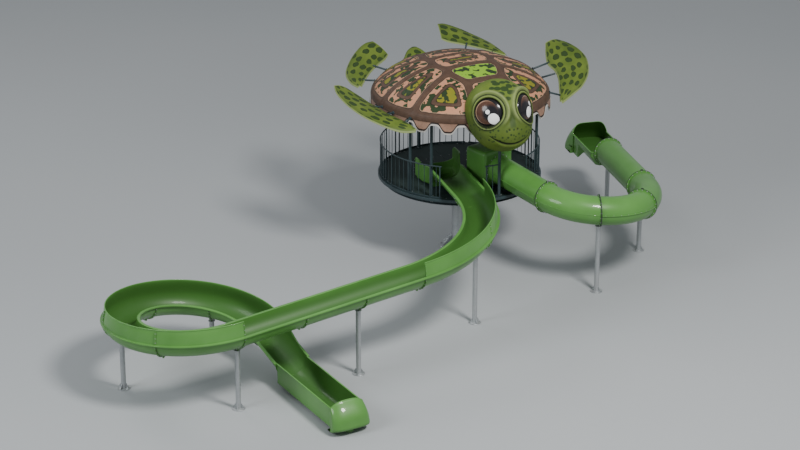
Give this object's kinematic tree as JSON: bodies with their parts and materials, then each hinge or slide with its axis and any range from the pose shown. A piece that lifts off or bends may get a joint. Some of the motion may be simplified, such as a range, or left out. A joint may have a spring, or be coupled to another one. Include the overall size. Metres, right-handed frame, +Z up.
{
  "type": "water slide tower",
  "caption": "Round tower deck under a turtle-shaped roof, with a looping open flume slide and a curved closed tube slide, each with its own run-out.",
  "frame": {"origin": "centre of the mast's base plate at ground level, on the axis of the round deck", "axes": "+Z up; the picture looks along +Y from above, with +X to its right; the open flume runs towards -X -Y and the tube slide towards +X"},
  "size_m": [16.0117, 17.9507, 6.155],
  "materials": {
    "slide_green": "glossy mid green gel coat on moulded fibreglass",
    "painted_steel": "dark blue-grey paint on steel, semi-matt",
    "galvanised_steel": "hot-dip galvanised steel, dull grey",
    "shell_brown": "painted fibreglass shell in brown, tan and olive scutes",
    "skirt_tan": "tan painted fibreglass with a darker scalloped edge",
    "skin_green": "yellow-green painted fibreglass with darker spots",
    "eye_gloss": "glossy painted eye, brown and black with white highlights"
  },
  "bodies": {
    "root": {"entry_tub": "slide_green", "flume_straight_1": "slide_green", "flume_bend_1": "slide_green", "flume_bend_2": "slide_green", "flume_straight_2": "slide_green", "flume_straight_3": "slide_green", "flume_straight_4": "slide_green", "flume_loop_1": "slide_green", "flume_loop_2": "slide_green", "flume_loop_3": "slide_green", "flume_loop_4": "slide_green", "flume_loop_5": "slide_green", "flume_drop": "slide_green", "runout_trough": "slide_green", "runout_nose": "slide_green", "tube_start_box": "slide_green", "tube_straight_1_upper": "slide_green", "tube_straight_1_lower": "slide_green", "tube_bend_1_upper": "slide_green", "tube_bend_1_lower": "slide_green", "tube_bend_2_upper": "slide_green", "tube_bend_2_lower": "slide_green", "tube_bend_3": "slide_green", "tube_straight_2": "slide_green", "tube_runout": "slide_green", "tube_runout_nose": "slide_green", "deck": "painted_steel", "fence_panel_1": "painted_steel", "fence_panel_2": "painted_steel", "fence_panel_3": "painted_steel", "fence_panel_4": "painted_steel", "fence_panel_5": "painted_steel", "fence_panel_6": "painted_steel", "roof_column_1": "painted_steel", "roof_column_2": "painted_steel", "roof_column_3": "painted_steel", "roof_column_4": "painted_steel", "roof_column_5": "painted_steel", "roof_column_6": "painted_steel", "tower_mast": "galvanised_steel", "flume_support_1": "galvanised_steel", "flume_support_2": "galvanised_steel", "flume_support_3": "galvanised_steel", "flume_support_4": "galvanised_steel", "flume_support_5": "galvanised_steel", "tube_support_1": "galvanised_steel", "tube_support_2": "galvanised_steel", "tube_support_3": "galvanised_steel", "shell_petal_1": "shell_brown", "shell_petal_2": "shell_brown", "shell_petal_3": "shell_brown", "shell_skirt": "skirt_tan", "turtle_head": "skin_green", "front_flipper_left": "skin_green", "front_flipper_right": "skin_green", "rear_flipper_left": "skin_green", "rear_flipper_right": "skin_green", "tail": "skin_green", "left_eye": "eye_gloss", "right_eye": "eye_gloss"}
  },
  "joints": []
}
